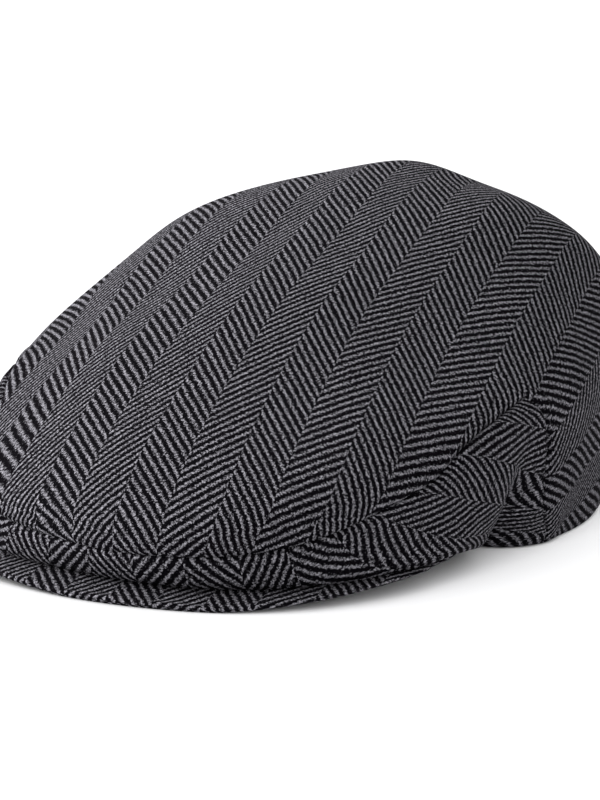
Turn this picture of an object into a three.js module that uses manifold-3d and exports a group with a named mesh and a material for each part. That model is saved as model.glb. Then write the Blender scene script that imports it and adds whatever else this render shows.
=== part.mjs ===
// A herringbone flat cap lying on a table: crown panel, side band and peak, in millimetres.
// +Z is up, the peak points to -Y and the wearer's left side is +X. The origin is on the table,
// under the middle of the cap.

import * as THREE from 'three';
import { mergeVertices } from 'three/addons/utils/BufferGeometryUtils.js';
import Module from 'manifold-3d';

const wasm = await Module();
wasm.setup();

// Driving dimensions.
const WALL = 2;
const SEAM_GAP = 0.3;
const CROWN = { halfWidth: 96, frontReach: 151, rearReach: 112, height: 110 };
const RIM = { halfWidth: 90, frontReach: 100, rearReach: 95 };
const PEAK = {
  frontReach: 153.7,
  cornerBack: 93.7,
  halfWidth: 82,
  squareness: 2.2,
  thickness: 4,
  edgeRound: 1.2,
  landing: 4,
  rise: 8,
  riseDepth: 65,
  endAngle: 43,
};
const LIP = { centre: 9, end: 1.5, endAngle: 33 };
const HEM = { leavesPeak: 36, meetsTable: 58 };

// The head opening's centre, behind the middle of the cap, so that the cap is centred on the origin.
const CENTRE_Y = (PEAK.frontReach - CROWN.rearReach) / 2;

// Sections of the crown by azimuth from the peak. The reach is a share of the plan ellipse and the
// other columns are shares of the crown's height: where the section is widest, and its top surface at
// four stations from the crown's middle outwards.
const TOP_CENTRE = 0.909;
const SECTIONS = [
  { angle: 0, reach: 1.0, widest: 0.185, inner: 0.775, second: 0.6, third: 0.43, outer: 0.285 },
  { angle: 30, reach: 1.03, widest: 0.265, inner: 0.79, second: 0.64, third: 0.493, outer: 0.371 },
  { angle: 60, reach: 1.04, widest: 0.357, inner: 0.842, second: 0.725, third: 0.6, outer: 0.493 },
  { angle: 90, reach: 1.0, widest: 0.425, inner: 0.892, second: 0.824, third: 0.708, outer: 0.561 },
  { angle: 120, reach: 1.035, widest: 0.438, inner: 0.93, second: 0.895, third: 0.785, outer: 0.603 },
  { angle: 150, reach: 1.03, widest: 0.456, inner: 0.967, second: 0.945, third: 0.836, outer: 0.63 },
  { angle: 180, reach: 1.0, widest: 0.473, inner: 0.982, second: 0.983, third: 0.875, outer: 0.65 },
];

// The fold that pinches the left side in above the rim, where the band leaves the peak. The angles
// are degrees, and the other columns are shares of the crown's height.
const DENTS = [
  { angle: 47, lean: 14, foot: 0.06, top: 0.4, width: 0.1, depth: 0.09 },
];

// The band's upper and rear seams, seen from the side, as shares of the crown's front reach and height.
const UPPER_SEAM = [
  { forward: 1.06, height: 0.13 },
  { forward: 0.993, height: 0.132 },
  { forward: 0.9, height: 0.173 },
  { forward: 0.801, height: 0.239 },
  { forward: 0.695, height: 0.305 },
  { forward: 0.6225, height: 0.368 },
  { forward: 0.543, height: 0.416 },
  { forward: 0.444, height: 0.459 },
  { forward: 0.404, height: 0.475 },
];
const REAR_SEAM = [
  { forward: 0.381, height: 0.427 },
  { forward: 0.3775, height: 0.364 },
  { forward: 0.3775, height: 0.209 },
  { forward: 0.364, height: 0.109 },
  { forward: 0.331, height: 0.018 },
  { forward: 0.318, height: -0.05 },
];

// Facets.
const AZIMUTHS = 96;
const TOP_RINGS = 11;
const WALL_RINGS = 7;
const SEAM_POINTS = 28;
const PEAK_RINGS = 6;
const TUCK_STEPS = 40;

const HALF_TURN = 180;
const AZIMUTH_STEP = 2 * HALF_TURN / AZIMUTHS;
const radians = THREE.MathUtils.degToRad;

/** Radius at an azimuth, in degrees from -Y, of an ellipse with its own front and rear reach. */
function ellipseRadius({ halfWidth, frontReach, rearReach }, angle) {
  const side = Math.sin(radians(angle));
  const along = Math.cos(radians(angle));
  return 1 / Math.hypot(side / halfWidth, along / (along > 0 ? frontReach : rearReach));
}

/** Catmull-Rom value at a place counted in list positions, running on straight past both ends. */
function spline(values, place) {
  const last = values.length - 1;
  const i = Math.min(Math.max(Math.floor(place), 0), last - 1);
  const extended = [2 * values[0] - values[1], ...values, 2 * values[last] - values[last - 1]];
  const at = (k) => extended[k + 1];
  const t = place - i;
  const slope0 = (at(i + 1) - at(i - 1)) / 2;
  const slope1 = (at(i + 2) - at(i)) / 2;
  const rest = at(i + 1) - at(i);
  return at(i) + slope0 * t + (3 * rest - 2 * slope0 - slope1) * t ** 2 + (slope0 + slope1 - 2 * rest) * t ** 3;
}

/** One column of the section table at any azimuth, mirrored over the front and the back. */
function column(name, angle) {
  const rows = SECTIONS.map((row) => row[name]);
  const step = HALF_TURN / (rows.length - 1);
  const mirrored = [rows[1], ...rows, rows[rows.length - 2]];
  return spline(mirrored, foldAngle(angle) / step + 1);
}

/** An azimuth's distance in degrees from the peak's centre line, from 0 to 180. */
function foldAngle(angle) {
  const turned = Math.abs(angle) % (2 * HALF_TURN);
  return turned > HALF_TURN ? 2 * HALF_TURN - turned : turned;
}

/** Height of the crown's top surface at an azimuth, from 0 at its middle to 1 at its widest line. */
function topHeight(angle, station) {
  const outwards = ['inner', 'second', 'third', 'outer', 'widest'];
  const near = outwards.map((name) => column(name, angle));
  const far = outwards.map((name) => column(name, HALF_TURN - foldAngle(angle)));
  return CROWN.height * spline([...far.reverse(), TOP_CENTRE, ...near], near.length * (1 + station));
}

/** Height of the peak's underside, which curves up towards the head behind a flat landing. */
function peakUnderside(forward) {
  const depth = PEAK.frontReach - PEAK.landing - forward;
  const share = THREE.MathUtils.clamp(depth / PEAK.riseDepth, 0, 1);
  return PEAK.rise * (1 - (1 - share) ** 2);
}

/** Radius of the peak's edge at an azimuth, found by halving on its squared-off outline. */
function peakRadius(angle) {
  const inside = (radius) => {
    const side = Math.abs(radius * Math.sin(radians(angle))) / PEAK.halfWidth;
    const corner = PEAK.frontReach - PEAK.cornerBack;
    const ahead = Math.max(radius * Math.cos(radians(angle)) - corner, 0) / PEAK.cornerBack;
    return side ** PEAK.squareness + ahead ** PEAK.squareness < 1;
  };
  let [low, high] = [0, 2 * PEAK.frontReach];
  while (high - low > 1e-6) {
    const middle = (low + high) / 2;
    if (inside(middle)) low = middle;
    else high = middle;
  }
  return low;
}

/** How much of the front hem's place an azimuth takes: 1 on the peak, 0 where the rim is on the table. */
function shareOnPeak(angle) {
  return 1 - THREE.MathUtils.smoothstep(foldAngle(angle), HEM.leavesPeak, HEM.meetsTable);
}

/** Radius of the shell's lower edge: inside the peak's lip in front, the head opening's rim behind. */
function hemRadius(angle) {
  const share = shareOnPeak(angle);
  const rim = ellipseRadius(RIM, angle);
  if (share === 0) return rim;
  const towardsEnd = Math.min(foldAngle(angle) / LIP.endAngle, 1);
  const lip = LIP.end + (LIP.centre - LIP.end) * Math.cos(towardsEnd * Math.PI / 2);
  return THREE.MathUtils.lerp(rim, peakRadius(angle) - lip, share);
}

/** Height of the shell's lower edge at a radius, clear of the peak's top or on the table. */
function hemHeight(angle, radius) {
  const forward = radius * Math.cos(radians(angle));
  return shareOnPeak(angle) * (peakUnderside(forward) + PEAK.thickness + SEAM_GAP);
}

/** A point given by azimuth, radius and height about the head opening's centre. */
function polarPoint(angle, radius, height) {
  const turn = radians(angle);
  return new THREE.Vector3(radius * Math.sin(turn), CENTRE_Y - radius * Math.cos(turn), height);
}

/** Depth of the folds in the left side at an azimuth and height. */
function dentDepth(angle, height) {
  return DENTS.reduce((sum, dent) => {
    const up = (height / CROWN.height - dent.foot) / (dent.top - dent.foot);
    const along = THREE.MathUtils.clamp(up, 0, 1);
    const ridge = dent.angle + dent.lean * along;
    const arc = radians(angle - ridge) * CROWN.halfWidth / (dent.width * CROWN.height);
    return sum + dent.depth * CROWN.height * (1 - along) * Math.exp(-(arc ** 2));
  }, 0);
}

/** A point of the shell's outer face: station 0 to 1 over the top, 1 to 2 down the wall to the hem. */
function shellPoint(angle, station) {
  const widest = column('reach', angle) * ellipseRadius(CROWN, angle);
  if (station <= 1) {
    return polarPoint(angle, widest * Math.sin(station * Math.PI / 2), topHeight(angle, station));
  }
  const down = station - 1;
  const hem = hemRadius(angle);
  const top = topHeight(angle, 1);
  const height = THREE.MathUtils.lerp(top, hemHeight(angle, hem), down);
  return polarPoint(angle, widest - (widest - hem) * down ** 2 - dentDepth(angle, height), height);
}

/** The outer face's point moved in by the wall, along the normal over the top and level at the hem. */
function liningPoint(angle, station) {
  const step = 1e-3;
  const point = shellPoint(angle, station);
  if (station === 2) {
    const radius = Math.hypot(point.x, point.y - CENTRE_Y) - WALL;
    return polarPoint(angle, radius, hemHeight(angle, radius));
  }
  const acrossTurn = shellPoint(angle + 1, station).sub(shellPoint(angle - 1, station));
  const downWall = shellPoint(angle, station + step).sub(shellPoint(angle, station - step));
  const normal = downWall.cross(acrossTurn).normalize();
  return point.addScaledVector(normal, -WALL);
}

/** A mesh from its points and its triangles' corners. */
function meshGeometry(points, triangles) {
  const geometry = new THREE.BufferGeometry();
  geometry.setAttribute('position', new THREE.Float32BufferAttribute(points.flatMap((p) => p.toArray()), 3));
  geometry.setIndex(triangles);
  return geometry;
}

/** The whole shell of crown and band as one closed cloth wall, hollow and open below. */
function shellGeometry() {
  const stations = [];
  for (let i = 1; i <= TOP_RINGS; i += 1) stations.push(i / TOP_RINGS);
  for (let i = 1; i <= WALL_RINGS; i += 1) stations.push(1 + i / WALL_RINGS);
  const azimuths = Array.from({ length: AZIMUTHS }, (_, i) => i * AZIMUTH_STEP);
  const outerRings = stations.map((station) => azimuths.map((angle) => shellPoint(angle, station)));
  const innerRings = stations.map((station) => azimuths.map((angle) => liningPoint(angle, station)));
  const rings = [...outerRings, ...innerRings.reverse()];
  const outerPole = shellPoint(0, 0);
  const innerPole = outerPole.clone().setZ(outerPole.z - WALL);
  const points = [outerPole, innerPole, ...rings.flat()];
  const at = (ring, i) => 2 + ring * AZIMUTHS + i % AZIMUTHS;
  const triangles = [];
  for (let i = 0; i < AZIMUTHS; i += 1) {
    triangles.push(0, at(0, i), at(0, i + 1));
    triangles.push(1, at(rings.length - 1, i + 1), at(rings.length - 1, i));
    for (let ring = 0; ring + 1 < rings.length; ring += 1) {
      triangles.push(at(ring, i), at(ring + 1, i), at(ring + 1, i + 1));
      triangles.push(at(ring, i), at(ring + 1, i + 1), at(ring, i + 1));
    }
  }
  return meshGeometry(points, triangles);
}

/** The band's outline from the side as points along Y and Z, moved out by a margin. */
function bandOutline(margin) {
  const place = ({ forward, height }) => new THREE.Vector2(
    CENTRE_Y - forward * CROWN.frontReach,
    height * CROWN.height,
  );
  const upper = new THREE.SplineCurve(UPPER_SEAM.map(place)).getPoints(SEAM_POINTS);
  const apex = UPPER_SEAM[UPPER_SEAM.length - 1];
  const rear = new THREE.SplineCurve([apex, ...REAR_SEAM].map(place)).getPoints(SEAM_POINTS);
  const seam = [...upper, ...rear.slice(1)];
  const grown = seam.map((point, i) => {
    const next = seam[Math.min(i + 1, seam.length - 1)];
    const before = seam[Math.max(i - 1, 0)];
    const along = next.clone().sub(before).normalize();
    return new THREE.Vector2(point.x - along.y * margin, point.y + along.x * margin);
  });
  const floor = -0.2 * CROWN.height;
  return [...grown, new THREE.Vector2(grown[grown.length - 1].x, floor), new THREE.Vector2(grown[0].x, floor)];
}

/** A bar along X with the band's outline, as wide as the whole cap and more. */
function bandCutter(margin) {
  const length = 4 * CROWN.halfWidth;
  const geometry = new THREE.ExtrudeGeometry(new THREE.Shape(bandOutline(margin)), {
    depth: length,
    bevelEnabled: false,
  });
  const yzToWorld = new THREE.Matrix4().makeBasis(
    new THREE.Vector3(0, 1, 0),
    new THREE.Vector3(0, 0, 1),
    new THREE.Vector3(1, 0, 0),
  );
  return geometry.applyMatrix4(yzToWorld).translate(-length / 2, 0, 0);
}

/** A closed three.js geometry as a solid that can be cut. */
function toSolid(geometry) {
  const bare = geometry.clone();
  bare.deleteAttribute('normal');
  bare.deleteAttribute('uv');
  const merged = mergeVertices(bare, 1e-4);
  return new wasm.Manifold(new wasm.Mesh({
    numProp: 3,
    vertProperties: new Float32Array(merged.attributes.position.array),
    triVerts: new Uint32Array(merged.index.array),
  }));
}

/** A cut solid as a three.js geometry. */
function toGeometry(solid) {
  const mesh = solid.getMesh();
  const geometry = new THREE.BufferGeometry();
  geometry.setAttribute('position', new THREE.BufferAttribute(mesh.vertProperties, 3));
  geometry.setIndex(new THREE.BufferAttribute(mesh.triVerts, 1));
  return geometry;
}

/** Radius of the peak's edge: free in front, and inside the band's wall past the end of the lip. */
function peakEdge(angle) {
  const folded = foldAngle(angle);
  if (folded <= LIP.endAngle) return peakRadius(folded);
  const top = peakUnderside(0) + PEAK.thickness;
  let radius = peakRadius(folded);
  for (let i = 0; i <= TUCK_STEPS; i += 1) {
    const point = liningPoint(folded, 1 + i / TUCK_STEPS);
    const reach = Math.hypot(point.x, point.y - CENTRE_Y);
    if (point.z < top + WALL) radius = Math.min(radius, reach - 2 * SEAM_GAP);
  }
  return radius;
}

/** The peak: a curved crescent plate from the head opening to its edge, with the edge rounded off. */
function peakGeometry() {
  const sections = [];
  const sideSteps = Math.floor(PEAK.endAngle / AZIMUTH_STEP);
  for (let i = -sideSteps; i <= sideSteps; i += 1) {
    const angle = i * AZIMUTH_STEP;
    const outer = peakEdge(angle);
    const inner = ellipseRadius(RIM, angle) - WALL;
    const surfacePoint = (radius, lift) => {
      const forward = radius * Math.cos(radians(angle));
      return polarPoint(angle, radius, peakUnderside(forward) + lift);
    };
    const bottom = [];
    const top = [];
    for (let k = 0; k <= PEAK_RINGS; k += 1) {
      const radius = THREE.MathUtils.lerp(inner, outer - PEAK.edgeRound, k / PEAK_RINGS);
      bottom.push(surfacePoint(radius, 0));
      top.push(surfacePoint(radius, PEAK.thickness));
    }
    const edge = [PEAK.edgeRound, PEAK.thickness - PEAK.edgeRound].map((lift) => surfacePoint(outer, lift));
    sections.push([...bottom, ...edge, ...top.reverse()]);
  }
  const count = sections[0].length;
  const at = (section, k) => section * count + k % count;
  const triangles = [];
  for (let section = 0; section + 1 < sections.length; section += 1) {
    for (let k = 0; k < count; k += 1) {
      triangles.push(at(section, k), at(section + 1, k), at(section + 1, k + 1));
      triangles.push(at(section, k), at(section + 1, k + 1), at(section, k + 1));
    }
  }
  for (let k = 0; k < PEAK_RINGS; k += 1) {
    const far = count - 1 - k;
    for (const [section, flip] of [[0, true], [2 * sideSteps, false]]) {
      const quad = [at(section, k), at(section, k + 1), at(section, far - 1), at(section, far)];
      if (flip) quad.reverse();
      triangles.push(quad[0], quad[2], quad[1], quad[0], quad[3], quad[2]);
    }
  }
  const last = PEAK_RINGS;
  for (const [section, flip] of [[0, true], [2 * sideSteps, false]]) {
    const quad = [last, last + 1, last + 2, last + 3].map((k) => at(section, k));
    if (flip) quad.reverse();
    triangles.push(quad[0], quad[2], quad[1], quad[0], quad[3], quad[2]);
  }
  return meshGeometry(sections.flat(), triangles);
}

/** Charcoal and grey herringbone wool, as one mean colour. */
function woolMesh(name, geometry) {
  const material = new THREE.MeshStandardMaterial({ color: 0x48464b, roughness: 0.95, metalness: 0 });
  geometry.computeVertexNormals();
  const mesh = new THREE.Mesh(geometry, material);
  mesh.name = name;
  return mesh;
}

const shell = toSolid(shellGeometry());
const band = shell.intersect(toSolid(bandCutter(0)));
const crown = shell.subtract(toSolid(bandCutter(SEAM_GAP)));

const cap = new THREE.Group();
cap.add(
  woolMesh('crown_panel', toGeometry(crown)),
  woolMesh('side_band', toGeometry(band)),
  woolMesh('peak', peakGeometry()),
);

export default cap;
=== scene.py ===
"""A herringbone wool flat cap lying on a pale floor.

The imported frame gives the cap's place and box. This script dresses it: the crown panel, the side band and the
peak are built as cloth with rolled seams, soft folds and the grain of a real cut, and the frame's plain solids
step back. Lengths are millimetres in the shape code and metres in the scene.
"""

import logging
import math
from collections.abc import Callable
from dataclasses import dataclass
from enum import Enum

import bpy
import numpy as np
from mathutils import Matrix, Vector


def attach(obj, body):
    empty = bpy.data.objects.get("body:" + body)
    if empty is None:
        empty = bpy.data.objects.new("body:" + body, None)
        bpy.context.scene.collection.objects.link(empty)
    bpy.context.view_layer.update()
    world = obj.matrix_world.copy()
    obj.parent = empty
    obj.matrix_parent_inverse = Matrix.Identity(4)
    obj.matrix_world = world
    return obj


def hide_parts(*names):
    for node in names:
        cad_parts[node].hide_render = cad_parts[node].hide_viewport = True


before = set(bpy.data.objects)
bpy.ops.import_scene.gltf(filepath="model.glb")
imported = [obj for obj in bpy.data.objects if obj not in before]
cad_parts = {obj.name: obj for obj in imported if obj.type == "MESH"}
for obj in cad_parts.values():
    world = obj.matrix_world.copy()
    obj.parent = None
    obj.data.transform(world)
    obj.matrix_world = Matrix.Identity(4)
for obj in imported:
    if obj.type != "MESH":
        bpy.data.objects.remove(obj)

LOG = logging.getLogger("flat_cap")
METRES = 0.001
SEED = 7

Array = np.ndarray


class Grain(Enum):
    """Where a piece's first herringbone column starts, in millimetres across its cloth."""

    CROWN = 7.2
    BAND = -1.5
    PEAK = 5.0


# Sections of the crown by azimuth, at even steps from the peak's centre line to the back. The reach is a share
# of the plan ellipse, and the others are shares of the crown's height.
SECTION_STEP = 30
SECTIONS = {
    "reach": (1.0, 1.03, 1.04, 1.0, 1.035, 1.03, 1.0),
    "inner": (0.775, 0.79, 0.842, 0.892, 0.93, 0.967, 0.982),
    "second": (0.6, 0.64, 0.725, 0.824, 0.895, 0.945, 0.983),
    "third": (0.43, 0.493, 0.6, 0.708, 0.785, 0.836, 0.875),
    "outer": (0.285, 0.371, 0.493, 0.561, 0.603, 0.63, 0.65),
    "widest": (0.185, 0.265, 0.357, 0.425, 0.438, 0.456, 0.473),
}
OUTWARDS = ("inner", "second", "third", "outer", "widest")

# The band's seams seen from the side, as (forward, height) shares of the crown's front reach and height.
UPPER_SEAM = (
    *((1.06, 0.13), (0.993, 0.132), (0.9, 0.173), (0.801, 0.239), (0.695, 0.305)),
    *((0.6225, 0.368), (0.543, 0.416), (0.444, 0.459), (0.404, 0.475)),
)
REAR_SEAM = (
    *((0.404, 0.475), (0.377, 0.427), (0.366, 0.364), (0.355, 0.28), (0.334, 0.195)),
    *((0.297, 0.109), (0.256, 0.05), (0.232, -0.02), (0.222, -0.06)),
)

# The peak's thickness in millimetres by azimuth.
PEAK_EDGE = {
    "azimuth": (-56, -46, -35, -22, -12, 0, 10, 20, 30, 36, 45),
    "thickness": (1.2, 1.2, 1.6, 2.0, 2.6, 2.4, 1.9, 1.4, 1.2, 1.2, 1.2),
}


def catmull_rom(rows: Array, place: Array) -> Array:
    """Reads a Catmull-Rom curve at places counted in list positions, running on straight past both ends.

    Args:
        rows: The values, one row for each position, with or without the shape of place behind it.
        place: Where to read, in list positions.

    Returns:
        The curve's values, shaped as place.
    """
    place = np.asarray(place, float)
    rows = np.asarray(rows, float)
    if rows.ndim == 1:
        rows = np.broadcast_to(rows.reshape(-1, *([1] * place.ndim)), (len(rows), *place.shape))
    last = len(rows) - 1
    extended = np.concatenate([2 * rows[:1] - rows[1:2], rows, 2 * rows[-1:] - rows[-2:-1]])
    start = np.clip(np.floor(place), 0, last - 1).astype(int)

    def at(step: int) -> Array:
        """The row that many positions on from the start."""
        return np.take_along_axis(extended, (start + step + 1)[None], 0)[0]

    share = place - start
    slope_in = (at(1) - at(-1)) / 2
    slope_out = (at(2) - at(0)) / 2
    rise = at(1) - at(0)
    bend = 3 * rise - 2 * slope_in - slope_out
    return at(0) + slope_in * share + bend * share**2 + (slope_in + slope_out - 2 * rise) * share**3


def halved(before: Callable[[Array], Array], low: Array, high: Array) -> Array:
    """Finds by halving where a test stops being true.

    Args:
        before: The test, true at low and false at high.
        low: Places to start from.
        high: Places to end at.

    Returns:
        The places where the test turns.
    """
    for _ in range(50):
        middle = (low + high) / 2
        held = before(middle)
        low = np.where(held, middle, low)
        high = np.where(held, high, middle)
    return (low + high) / 2


def wrapped(angle: Array) -> Array:
    """Azimuths brought between -180 and 180."""
    return (np.asarray(angle, float) + 180) % 360 - 180


def smoothstep(value: Array, low: float, high: float) -> Array:
    """A soft step from 0 at low to 1 at high."""
    share = np.clip((np.asarray(value, float) - low) / (high - low), 0, 1)
    return share * share * (3 - 2 * share)


def graded(length: float, fine: float, coarse: float, growth: float = 1.35) -> Array:
    """Spaces points along a length, close together at its start and even further on.

    Args:
        length: The length to divide.
        fine: The first step.
        coarse: The widest step.
        growth: How much each step is longer than the one before.

    Returns:
        The points' places as shares of the length, from 0 to 1.
    """
    steps = [fine]
    while sum(steps) < length:
        steps.append(min(coarse, steps[-1] * growth))
    places = np.concatenate([[0.0], np.cumsum(steps)])
    return places / places[-1]


@dataclass(frozen=True)
class CapForm:
    """The cap's outer face by azimuth and station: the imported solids' shape with a fuller right front corner.

    An azimuth is in degrees from the peak's direction, positive towards the wearer's left. A station is 0 in
    the middle of the crown, 1 on the widest line and 2 on the lower edge.
    """

    crown_half_width: float = 96.0
    crown_front: float = 151.0
    crown_rear: float = 112.0
    crown_height: float = 110.0
    top_centre: float = 0.909
    rim_half_width: float = 90.0
    rim_front: float = 100.0
    rim_rear: float = 95.0
    peak_front: float = 153.7
    peak_corner_back: float = 93.7
    peak_half_width: float = 82.0
    peak_squareness: float = 2.2
    peak_landing: float = 4.0
    peak_rise: float = 8.0
    peak_rise_depth: float = 65.0
    lip_centre: float = 9.0
    lip_end: float = -0.3
    lip_end_angle: float = 34.0
    hem_leaves_peak: float = 36.0
    hem_meets_table: float = 58.0
    right_lip_runs_on: float = 10.0
    right_lip_eases: float = 40.0
    seam_gap: float = 0.5
    corner_angle: float = -29.0
    corner_width: float = 11.5
    corner_fullness: float = 0.065
    corner_drop: float = 7.0
    corner_starts: float = 0.6

    @property
    def centre_y(self) -> float:
        """How far the head opening's centre lies behind the middle of the cap."""
        return (self.peak_front - self.crown_rear) / 2

    def fold_angle(self, angle: Array) -> Array:
        """An azimuth's distance from the peak's centre line, from 0 to 180."""
        return np.abs(wrapped(angle))

    def section(self, name: str, angle: Array) -> Array:
        """One column of the section table at any azimuth."""
        rows = SECTIONS[name]
        mirrored = np.array([rows[1], *rows, rows[-2]])
        return catmull_rom(mirrored, self.fold_angle(angle) / SECTION_STEP + 1)

    def ellipse(self, half_width: float, front: float, rear: float, angle: Array) -> Array:
        """Radius of an oval with its own front and rear reach."""
        side = np.sin(np.radians(angle))
        along = np.cos(np.radians(angle))
        return 1 / np.hypot(side / half_width, along / np.where(along > 0, front, rear))

    def corner(self, angle: Array) -> Array:
        """1 in the middle of the fuller and lower right front corner, fading to 0 away from it."""
        return np.exp(-(((wrapped(angle) - self.corner_angle) / self.corner_width) ** 2))

    def from_middle(self, angle: Array) -> Array:
        """An azimuth's distance from the middle of the lip, which runs on further to the wearer's right."""
        longer = self.right_lip_runs_on * smoothstep(-wrapped(angle), 0, self.right_lip_eases)
        return self.fold_angle(angle) - longer

    def widest_radius(self, angle: Array) -> Array:
        """Radius of the crown's widest line, before its corner is filled out."""
        oval = self.ellipse(self.crown_half_width, self.crown_front, self.crown_rear, angle)
        return self.section("reach", angle) * oval

    def top_height(self, angle: Array, station: Array) -> Array:
        """Height of the crown's top, from its middle at station 0 to its widest line at station 1."""
        angle, station = np.broadcast_arrays(np.asarray(angle, float), np.asarray(station, float))
        near = [self.section(name, angle) for name in OUTWARDS]
        far = [self.section(name, 180 - self.fold_angle(angle)) for name in reversed(OUTWARDS)]
        rows = np.stack([*far, np.full(angle.shape, self.top_centre), *near])
        return self.crown_height * catmull_rom(rows, 5 * (1 + station))

    def peak_underside(self, forward: Array) -> Array:
        """Height of the peak's underside at a distance forward of the head opening's centre."""
        depth = self.peak_front - self.peak_landing - np.asarray(forward, float)
        return self.peak_rise * (1 - (1 - np.clip(depth / self.peak_rise_depth, 0, 1)) ** 2)

    def peak_radius(self, angle: Array) -> Array:
        """Radius of the peak's outline, filled out at its right corner."""
        turn = np.radians(angle)
        corner = self.peak_front - self.peak_corner_back

        def inside(radius: Array) -> Array:
            """Whether places at radii lie on the plain peak."""
            side = np.abs(radius * np.sin(turn)) / self.peak_half_width
            ahead = np.maximum(radius * np.cos(turn) - corner, 0) / self.peak_corner_back
            return side**self.peak_squareness + ahead**self.peak_squareness < 1

        plain = halved(inside, np.zeros(np.shape(turn)), np.full(np.shape(turn), 2 * self.peak_front))
        return plain * (1 + self.corner_fullness * self.corner(angle))

    def peak_thickness(self, angle: Array) -> Array:
        """How thick the peak's edge is at any azimuth."""
        return np.interp(wrapped(angle), PEAK_EDGE["azimuth"], PEAK_EDGE["thickness"])

    def on_peak(self, angle: Array) -> Array:
        """1 where the lower edge sits on the peak, 0 where it lies on the table."""
        return 1 - smoothstep(self.from_middle(angle), self.hem_leaves_peak, self.hem_meets_table)

    def lip(self, angle: Array) -> Array:
        """How far the peak's edge stands out past the band's lower edge."""
        towards_end = np.minimum(self.from_middle(angle) / self.lip_end_angle, 1)
        return self.lip_end + (self.lip_centre - self.lip_end) * np.cos(towards_end * np.pi / 2)

    def hem_radius(self, angle: Array) -> Array:
        """Radius of the lower edge, on the peak in front and at the rim behind."""
        rim = self.ellipse(self.rim_half_width, self.rim_front, self.rim_rear, angle)
        front = self.peak_radius(angle) - self.lip(angle)
        return rim + (front - rim) * self.on_peak(angle)

    def hem_height(self, angle: Array) -> Array:
        """Height of the lower edge over the table."""
        forward = self.hem_radius(angle) * np.cos(np.radians(angle))
        peak_top = self.peak_underside(forward) + self.peak_thickness(angle)
        return self.on_peak(angle) * (peak_top + self.seam_gap)

    def polar_point(self, angle: Array, radius: Array, height: Array) -> Array:
        """Points from azimuths, radii and heights about the head opening's centre."""
        turn = np.radians(angle)
        x, y = radius * np.sin(turn), self.centre_y - radius * np.cos(turn)
        return np.stack([x, y, height + 0 * turn], -1)

    def point(self, angle: Array, station: Array) -> Array:
        """Points of the outer face, before any fold is pressed into it.

        Args:
            angle: Azimuths in degrees.
            station: Stations from 0 to 2, shaped as the azimuths or broadcast with them.

        Returns:
            The points, with x, y and z last.
        """
        angle, station = np.broadcast_arrays(np.asarray(angle, float), np.asarray(station, float))
        widest = self.widest_radius(angle)
        on_top = np.minimum(station, 1)
        filled = smoothstep(on_top, self.corner_starts, 1)
        top = self.top_height(angle, on_top) - self.corner_drop * self.corner(angle) * filled
        down = np.maximum(station - 1, 0)
        fullness = self.corner_fullness * self.corner(angle) * widest
        radius = widest * np.sin(on_top * np.pi / 2) + fullness * filled
        radius = radius - (widest + fullness - self.hem_radius(angle)) * down**2
        height = top + (self.hem_height(angle) - top) * down
        return self.polar_point(angle, radius, height)

    def outward(self, angle: Array) -> Array:
        """Level unit directions that point straight out of the widest line."""
        step = 0.25
        ahead = self.polar_point(angle + step, self.widest_radius(angle + step), 0)
        behind = self.polar_point(angle - step, self.widest_radius(angle - step), 0)
        along = (ahead - behind)[..., :2]
        along = along / np.linalg.norm(along, axis=-1, keepdims=True)
        return np.stack([along[..., 1], -along[..., 0]], -1)


@dataclass(frozen=True)
class SeamLines:
    """Where the band's upper and rear seams run on the cap's outer face."""

    form: CapForm
    points_a_row: int = 40

    def _drawn(self, rows: tuple) -> Array:
        """A seam's smooth line as many (forward, height) points in millimetres."""
        table = np.array(rows) * (self.form.crown_front, self.form.crown_height)
        place = np.linspace(0, len(rows) - 1, self.points_a_row * len(rows))
        return np.stack([catmull_rom(table[:, k], place) for k in (0, 1)], -1)

    def upper_station(self, angle: Array) -> Array:
        """Station of the upper seam at azimuths ahead of the apex."""
        line = self._drawn(UPPER_SEAM)[::-1]

        def above(station: Array) -> Array:
            """Whether the form lies over the seam at stations."""
            at = self.form.point(angle, station)
            return at[..., 2] > np.interp(self.form.centre_y - at[..., 1], line[:, 0], line[:, 1])

        return halved(above, np.full(np.shape(angle), 0.5), np.full(np.shape(angle), 2.0))

    def apex(self) -> tuple[float, float]:
        """Azimuth and station of the point where the upper seam meets the rear seam."""
        end_y = self.form.centre_y - UPPER_SEAM[-1][0] * self.form.crown_front

        def ahead(angle: Array) -> Array:
            """Whether the upper seam at azimuths lies ahead of its end."""
            return self.form.point(angle, self.upper_station(angle))[..., 1] < end_y

        angle = halved(ahead, np.array([30.0]), np.array([80.0]))
        return float(angle[0]), float(self.upper_station(angle)[0])

    def rear_angle(self, station: Array) -> Array:
        """Azimuth of the rear seam at stations below the apex."""
        line = self._drawn(REAR_SEAM)[::-1]

        def ahead(angle: Array) -> Array:
            """Whether the form at azimuths lies ahead of the seam."""
            at = self.form.point(angle, station)
            return self.form.centre_y - at[..., 1] > np.interp(at[..., 2], line[:, 1], line[:, 0])

        return halved(ahead, np.full(np.shape(station), 30.0), np.full(np.shape(station), 85.0))


@dataclass(frozen=True)
class Fold:
    """One soft fold or swelling of the wall, leaning as it rises. Lengths are millimetres.

    Positive depths press in and negative ones swell out.
    """

    angle: float
    lean: float
    foot: float
    top: float
    foot_width: float
    top_width: float
    depth: float

    def depth_at(self, angle: Array, height: Array, radius: float) -> Array:
        """How far the wall is pressed in at azimuths and heights."""
        up = np.clip((height - self.foot) / (self.top - self.foot), 0, 1)
        ridge = self.angle + self.lean * up
        width = self.foot_width + (self.top_width - self.foot_width) * up
        arc = np.radians(angle - ridge) * radius
        return self.depth * (1 - smoothstep(up, 0, 1)) * np.exp(-((arc / width) ** 2))


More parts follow.
